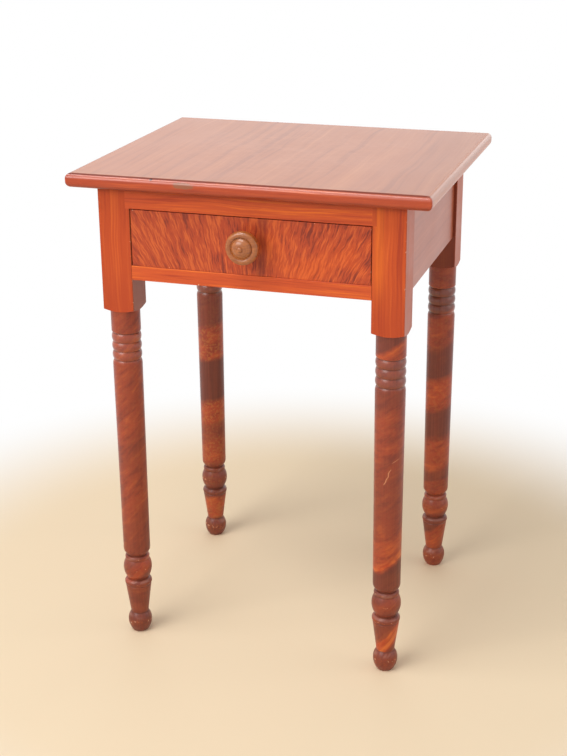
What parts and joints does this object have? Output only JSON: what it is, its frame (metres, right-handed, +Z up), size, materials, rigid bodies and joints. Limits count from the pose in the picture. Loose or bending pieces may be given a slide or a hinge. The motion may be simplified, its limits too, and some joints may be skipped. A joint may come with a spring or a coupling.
{
  "type": "side table with drawer",
  "caption": "Small wooden side table with a drawer under its overhanging top and turned, ringed legs on ball feet, finished all over in painted wood graining.",
  "frame": {"origin": "on the floor, under the middle of the whole object's box", "axes": "+Z up, -Y out of the drawer front, +X to the right of someone facing the front"},
  "size_m": [0.508, 0.4444, 0.72],
  "materials": {
    "grained_top": "grain-painted, worn satin varnish",
    "grained_legs": "grain-painted in dark and orange bands, satin varnish",
    "grained_frame": "grain-painted, satin varnish",
    "grained_drawer": "feather-grained paint, satin varnish",
    "knob_wood": "varnished turned hardwood",
    "bare_wood": "bare planed softwood",
    "iron": "dark oxidised iron"
  },
  "bodies": {
    "table": {"table_top": "grained_top", "leg_front_left": "grained_legs", "leg_front_right": "grained_legs", "leg_back_left": "grained_legs", "leg_back_right": "grained_legs", "side_apron_left": "grained_frame", "side_apron_right": "grained_frame", "back_apron": "grained_frame", "upper_front_rail": "grained_frame", "lower_front_rail": "grained_frame", "drawer_runner_left": "bare_wood", "drawer_runner_right": "bare_wood", "drawer_guide_left": "bare_wood", "drawer_guide_right": "bare_wood", "drawer_kicker_left": "bare_wood", "drawer_kicker_right": "bare_wood", "drawer_stops": "bare_wood", "cut_nails": "iron", "top_screws": "iron"},
    "drawer": {"drawer_front": "grained_drawer", "drawer_side_left": "bare_wood", "drawer_side_right": "bare_wood", "drawer_back": "bare_wood", "drawer_bottom": "bare_wood", "drawer_knob": "knob_wood", "drawer_bottom_nails": "iron"}
  },
  "joints": [
    {"name": "drawer_slide", "type": "slide", "parent": "table", "child": "drawer", "axis": [0, -1, 0], "range_m": [0, 0.26]}
  ]
}
